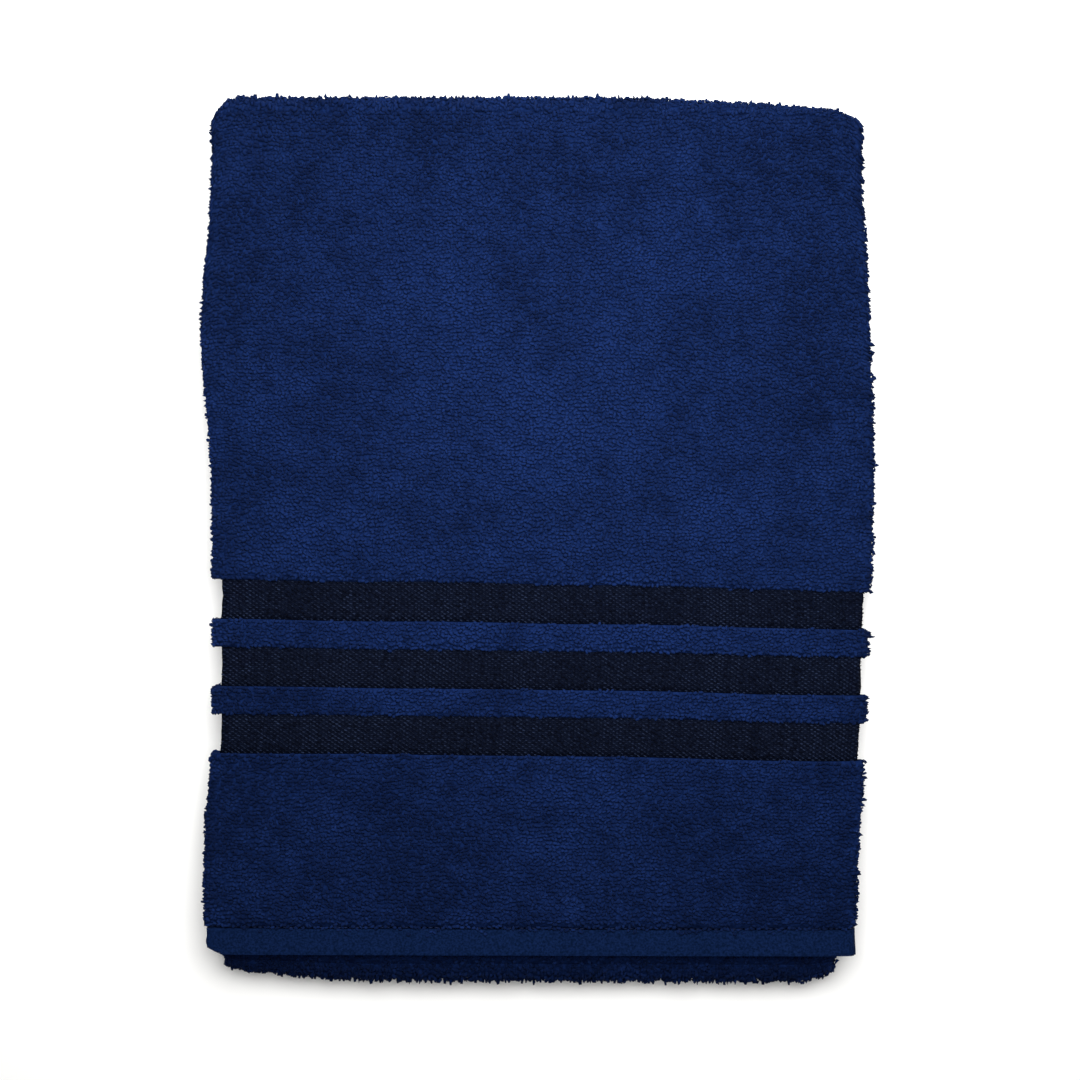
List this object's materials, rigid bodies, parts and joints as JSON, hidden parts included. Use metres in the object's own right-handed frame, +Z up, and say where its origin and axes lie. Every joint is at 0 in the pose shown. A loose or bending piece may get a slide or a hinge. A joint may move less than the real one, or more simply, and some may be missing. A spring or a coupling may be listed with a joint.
{
  "type": "folded bath towel",
  "caption": "Navy terry bath towel with a dark flat-woven striped border, doubled lengthwise and pleated into a stack whose panels swing open at the pleats.",
  "frame": {"origin": "on the ground under the middle of the folded towel's outline", "axes": "+X to the doubled side fold, -Y to the front pleat and the top panel's hem, +Z up through the stack"},
  "size_m": [0.355, 0.484, 0.0315],
  "materials": {
    "navy_terry": "looped cotton pile, matt",
    "dark_dobby": "flat fine twill, slight sheen",
    "flat_hem": "plain weave, matt",
    "sewing_thread": "spun polyester thread"
  },
  "bodies": {
    "bottom_panel": {"bottom_end_hem": "flat_hem", "bottom_end_hem_thread": "sewing_thread", "bottom_end_terry": "navy_terry", "bottom_inner_band": "dark_dobby", "bottom_inner_rib": "navy_terry", "bottom_lower_side_hem": "flat_hem", "bottom_lower_side_thread": "sewing_thread", "bottom_middle_band": "dark_dobby", "bottom_outer_band": "dark_dobby", "bottom_outer_rib": "navy_terry", "bottom_terry_field": "navy_terry", "bottom_upper_side_hem": "flat_hem", "bottom_upper_side_thread": "sewing_thread", "front_pleat": "navy_terry", "front_pleat_inner_side_hem": "flat_hem", "front_pleat_inner_side_thread": "sewing_thread", "front_pleat_outer_side_hem": "flat_hem", "front_pleat_outer_side_thread": "sewing_thread"},
    "middle_panel": {"back_pleat": "navy_terry", "back_pleat_inner_side_hem": "flat_hem", "back_pleat_inner_side_thread": "sewing_thread", "back_pleat_outer_side_hem": "flat_hem", "back_pleat_outer_side_thread": "sewing_thread", "middle_lower_side_hem": "flat_hem", "middle_lower_side_thread": "sewing_thread", "middle_terry_field": "navy_terry", "middle_upper_side_hem": "flat_hem", "middle_upper_side_thread": "sewing_thread"},
    "top_panel": {"top_end_hem": "flat_hem", "top_end_hem_thread": "sewing_thread", "top_end_terry": "navy_terry", "top_inner_band": "dark_dobby", "top_inner_rib": "navy_terry", "top_lower_side_hem": "flat_hem", "top_lower_side_thread": "sewing_thread", "top_middle_band": "dark_dobby", "top_outer_band": "dark_dobby", "top_outer_rib": "navy_terry", "top_terry_field": "navy_terry", "top_upper_side_hem": "flat_hem", "top_upper_side_thread": "sewing_thread"}
  },
  "joints": [
    {"name": "front_pleat", "type": "hinge", "parent": "bottom_panel", "child": "middle_panel", "pos_m": [0, -0.2314, 0.01045], "axis": [1, 0, 0], "range_deg": [0, 180], "deforming": ["front_pleat", "front_pleat_inner_side_hem", "front_pleat_inner_side_thread", "front_pleat_outer_side_hem", "front_pleat_outer_side_thread"]},
    {"name": "back_pleat", "type": "hinge", "parent": "middle_panel", "child": "top_panel", "pos_m": [0, 0.2314, 0.02105], "axis": [-1, 0, 0], "range_deg": [0, 180], "deforming": ["back_pleat", "back_pleat_inner_side_hem", "back_pleat_inner_side_thread", "back_pleat_outer_side_hem", "back_pleat_outer_side_thread"]}
  ]
}
